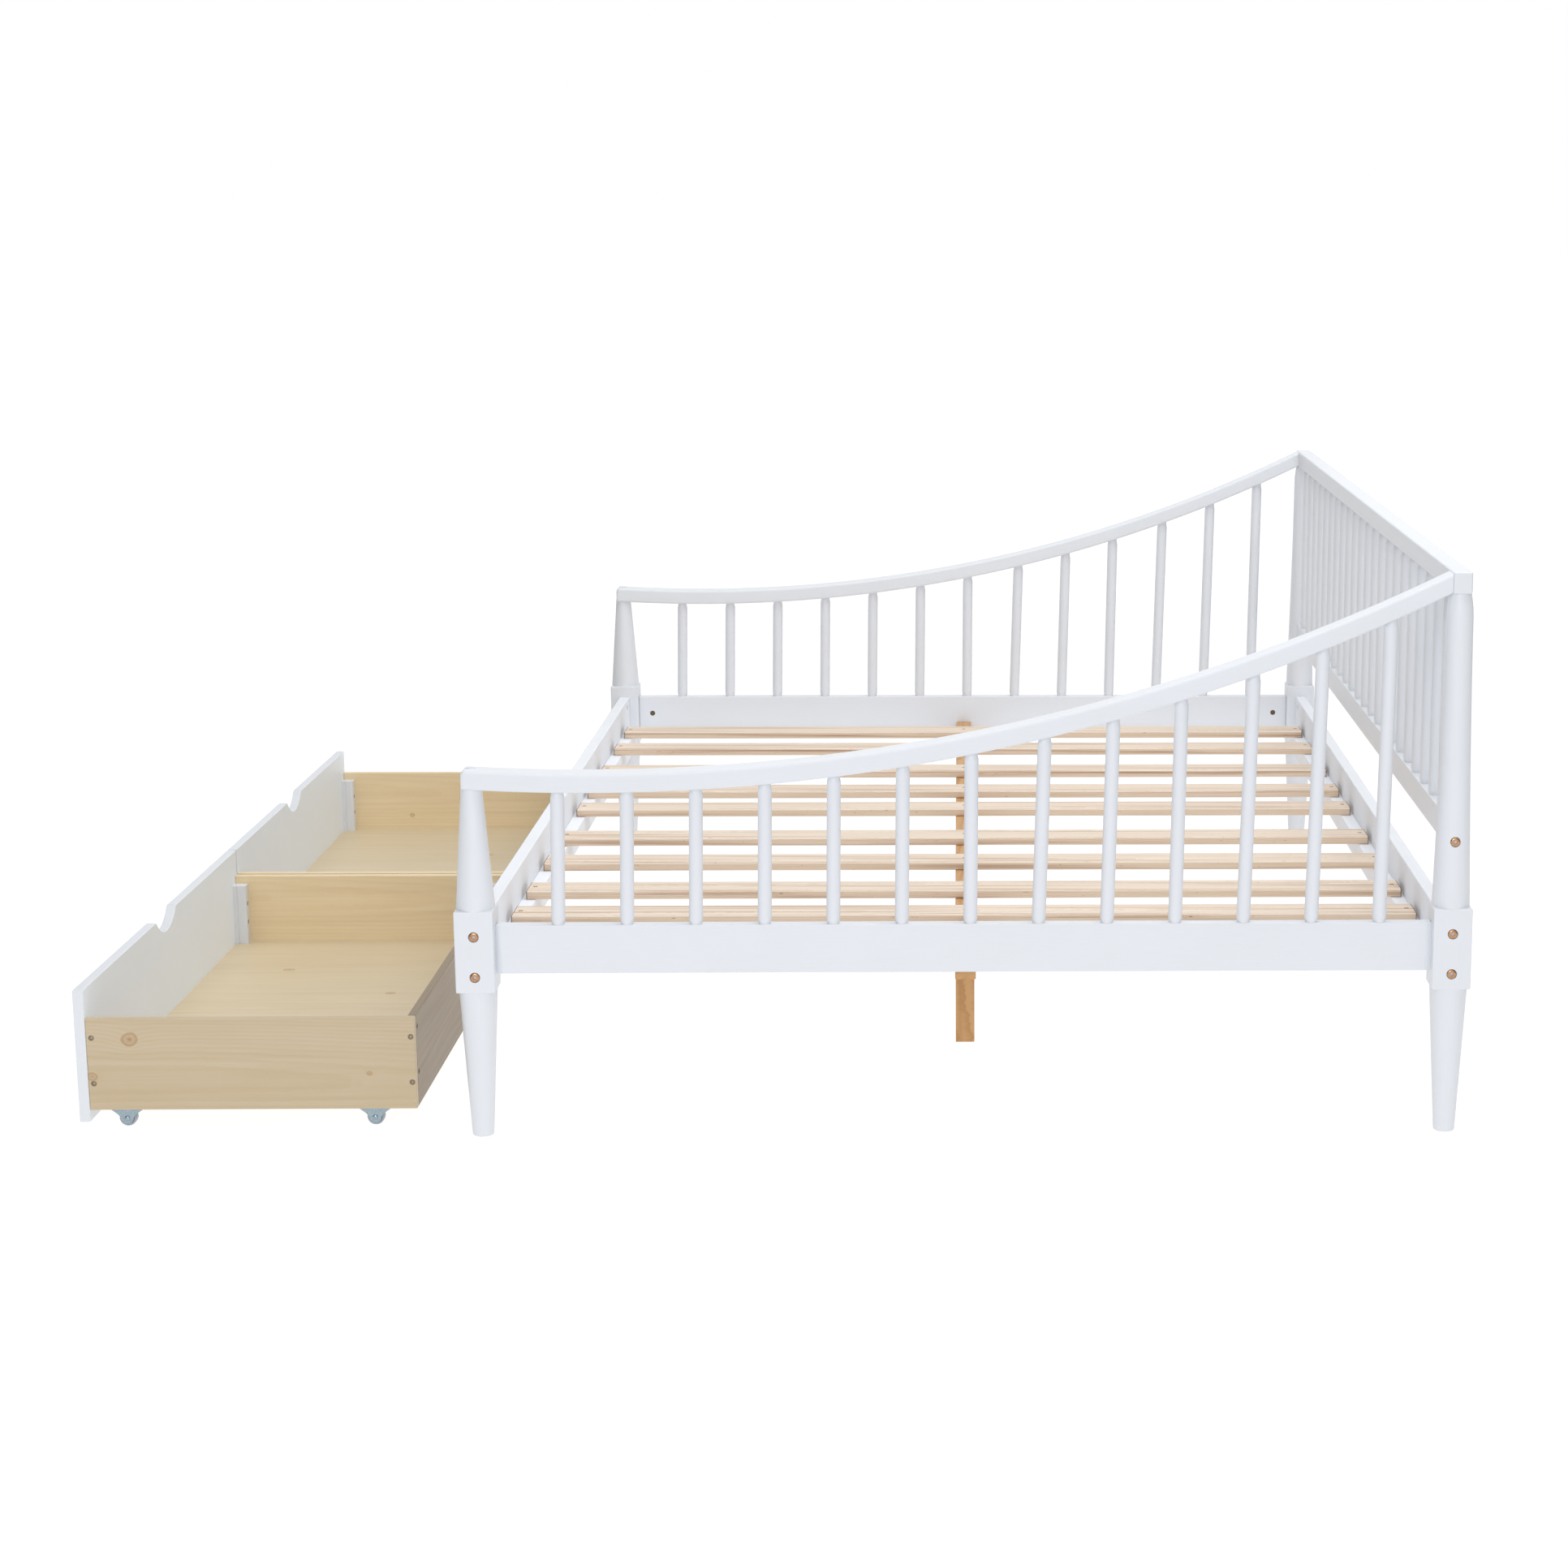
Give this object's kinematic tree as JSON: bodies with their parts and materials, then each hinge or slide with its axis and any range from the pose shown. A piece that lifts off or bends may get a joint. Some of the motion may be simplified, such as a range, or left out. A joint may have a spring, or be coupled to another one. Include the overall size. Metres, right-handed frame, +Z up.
{
  "type": "daybed frame",
  "caption": "Wooden daybed frame with turned posts, curved spindle ends, a spindle back, a slatted base and wheeled storage drawers that roll under it.",
  "frame": {"origin": "on the floor, midway between the four posts, under the middle centre leg", "axes": "+X along the bed to its right end, +Y from the open front to the back panel, +Z up"},
  "size_m": [1.9816, 2.0243, 0.825],
  "materials": {
    "white_paint": "satin white paint",
    "slat_wood": "bare",
    "drawer_pine": "clear satin",
    "beam_pine": "bare",
    "dowel_wood": "bare",
    "bronze": "plated",
    "screw_steel": "plated",
    "zinc": "zinc plated",
    "wheel_plastic": "satin"
  },
  "bodies": {
    "bed": {"front_right_post": "white_paint", "back_right_post": "white_paint", "right_end_top_rail": "white_paint", "right_end_rail": "white_paint", "right_end_spindles": "white_paint", "front_left_post": "white_paint", "back_left_post": "white_paint", "left_end_top_rail": "white_paint", "left_end_rail": "white_paint", "left_end_spindles": "white_paint", "back_top_rail": "white_paint", "back_lower_rail": "white_paint", "back_spindles": "white_paint", "front_side_rail": "white_paint", "back_side_rail": "white_paint", "front_ledger": "white_paint", "back_ledger": "white_paint", "slat_1": "slat_wood", "slat_2": "slat_wood", "slat_3": "slat_wood", "slat_4": "slat_wood", "slat_5": "slat_wood", "slat_6": "slat_wood", "slat_7": "slat_wood", "slat_8": "slat_wood", "slat_9": "slat_wood", "slat_screws": "screw_steel", "centre_beam": "beam_pine", "centre_legs": "beam_pine", "frame_bolts": "bronze", "barrel_nuts": "bronze", "wood_dowels": "dowel_wood", "rail_plugs": "white_paint", "frame_screws": "screw_steel"},
    "right_drawer": {"right_drawer_front": "white_paint", "right_drawer_right_side": "drawer_pine", "right_drawer_left_side": "drawer_pine", "right_drawer_back": "drawer_pine", "right_drawer_floor": "drawer_pine", "right_drawer_corner_blocks": "white_paint", "right_drawer_screws": "screw_steel", "right_drawer_caster_brackets": "zinc", "right_drawer_caster_axles": "zinc"},
    "right_drawer_wheel_1": {"right_drawer_wheel_1": "wheel_plastic"},
    "right_drawer_wheel_2": {"right_drawer_wheel_2": "wheel_plastic"},
    "right_drawer_wheel_3": {"right_drawer_wheel_3": "wheel_plastic"},
    "right_drawer_wheel_4": {"right_drawer_wheel_4": "wheel_plastic"},
    "left_drawer": {"left_drawer_front": "white_paint", "left_drawer_right_side": "drawer_pine", "left_drawer_left_side": "drawer_pine", "left_drawer_back": "drawer_pine", "left_drawer_floor": "drawer_pine", "left_drawer_corner_blocks": "white_paint", "left_drawer_screws": "screw_steel", "left_drawer_caster_brackets": "zinc", "left_drawer_caster_axles": "zinc"},
    "left_drawer_wheel_1": {"left_drawer_wheel_1": "wheel_plastic"},
    "left_drawer_wheel_2": {"left_drawer_wheel_2": "wheel_plastic"},
    "left_drawer_wheel_3": {"left_drawer_wheel_3": "wheel_plastic"},
    "left_drawer_wheel_4": {"left_drawer_wheel_4": "wheel_plastic"}
  },
  "joints": [
    {"name": "right_drawer_slide", "type": "slide", "parent": "bed", "child": "right_drawer", "axis": [0, 1, 0], "range_m": [0, 0.582]},
    {"name": "right_drawer_wheel_1_spin", "type": "hinge", "parent": "right_drawer", "child": "right_drawer_wheel_1", "pos_m": [0.024, -1.227, 0.0125], "axis": [1, 0, 0], "continuous": true},
    {"name": "right_drawer_wheel_2_spin", "type": "hinge", "parent": "right_drawer", "child": "right_drawer_wheel_2", "pos_m": [0.024, -0.866, 0.0125], "axis": [1, 0, 0], "continuous": true},
    {"name": "right_drawer_wheel_3_spin", "type": "hinge", "parent": "right_drawer", "child": "right_drawer_wheel_3", "pos_m": [0.91, -1.227, 0.0125], "axis": [1, 0, 0], "continuous": true},
    {"name": "right_drawer_wheel_4_spin", "type": "hinge", "parent": "right_drawer", "child": "right_drawer_wheel_4", "pos_m": [0.91, -0.866, 0.0125], "axis": [1, 0, 0], "continuous": true},
    {"name": "left_drawer_slide", "type": "slide", "parent": "bed", "child": "left_drawer", "axis": [0, 1, 0], "range_m": [0, 0.582]},
    {"name": "left_drawer_wheel_1_spin", "type": "hinge", "parent": "left_drawer", "child": "left_drawer_wheel_1", "pos_m": [-0.898, -1.227, 0.0125], "axis": [1, 0, 0], "continuous": true},
    {"name": "left_drawer_wheel_2_spin", "type": "hinge", "parent": "left_drawer", "child": "left_drawer_wheel_2", "pos_m": [-0.898, -0.866, 0.0125], "axis": [1, 0, 0], "continuous": true},
    {"name": "left_drawer_wheel_3_spin", "type": "hinge", "parent": "left_drawer", "child": "left_drawer_wheel_3", "pos_m": [-0.012, -1.227, 0.0125], "axis": [1, 0, 0], "continuous": true},
    {"name": "left_drawer_wheel_4_spin", "type": "hinge", "parent": "left_drawer", "child": "left_drawer_wheel_4", "pos_m": [-0.012, -0.866, 0.0125], "axis": [1, 0, 0], "continuous": true}
  ],
  "couplings": [
    {"joint": "right_drawer_wheel_1_spin", "follows": "right_drawer_slide", "rad_per_m": -80},
    {"joint": "right_drawer_wheel_2_spin", "follows": "right_drawer_slide", "rad_per_m": -80},
    {"joint": "right_drawer_wheel_3_spin", "follows": "right_drawer_slide", "rad_per_m": -80},
    {"joint": "right_drawer_wheel_4_spin", "follows": "right_drawer_slide", "rad_per_m": -80},
    {"joint": "left_drawer_wheel_1_spin", "follows": "left_drawer_slide", "rad_per_m": -80},
    {"joint": "left_drawer_wheel_2_spin", "follows": "left_drawer_slide", "rad_per_m": -80},
    {"joint": "left_drawer_wheel_3_spin", "follows": "left_drawer_slide", "rad_per_m": -80},
    {"joint": "left_drawer_wheel_4_spin", "follows": "left_drawer_slide", "rad_per_m": -80}
  ]
}
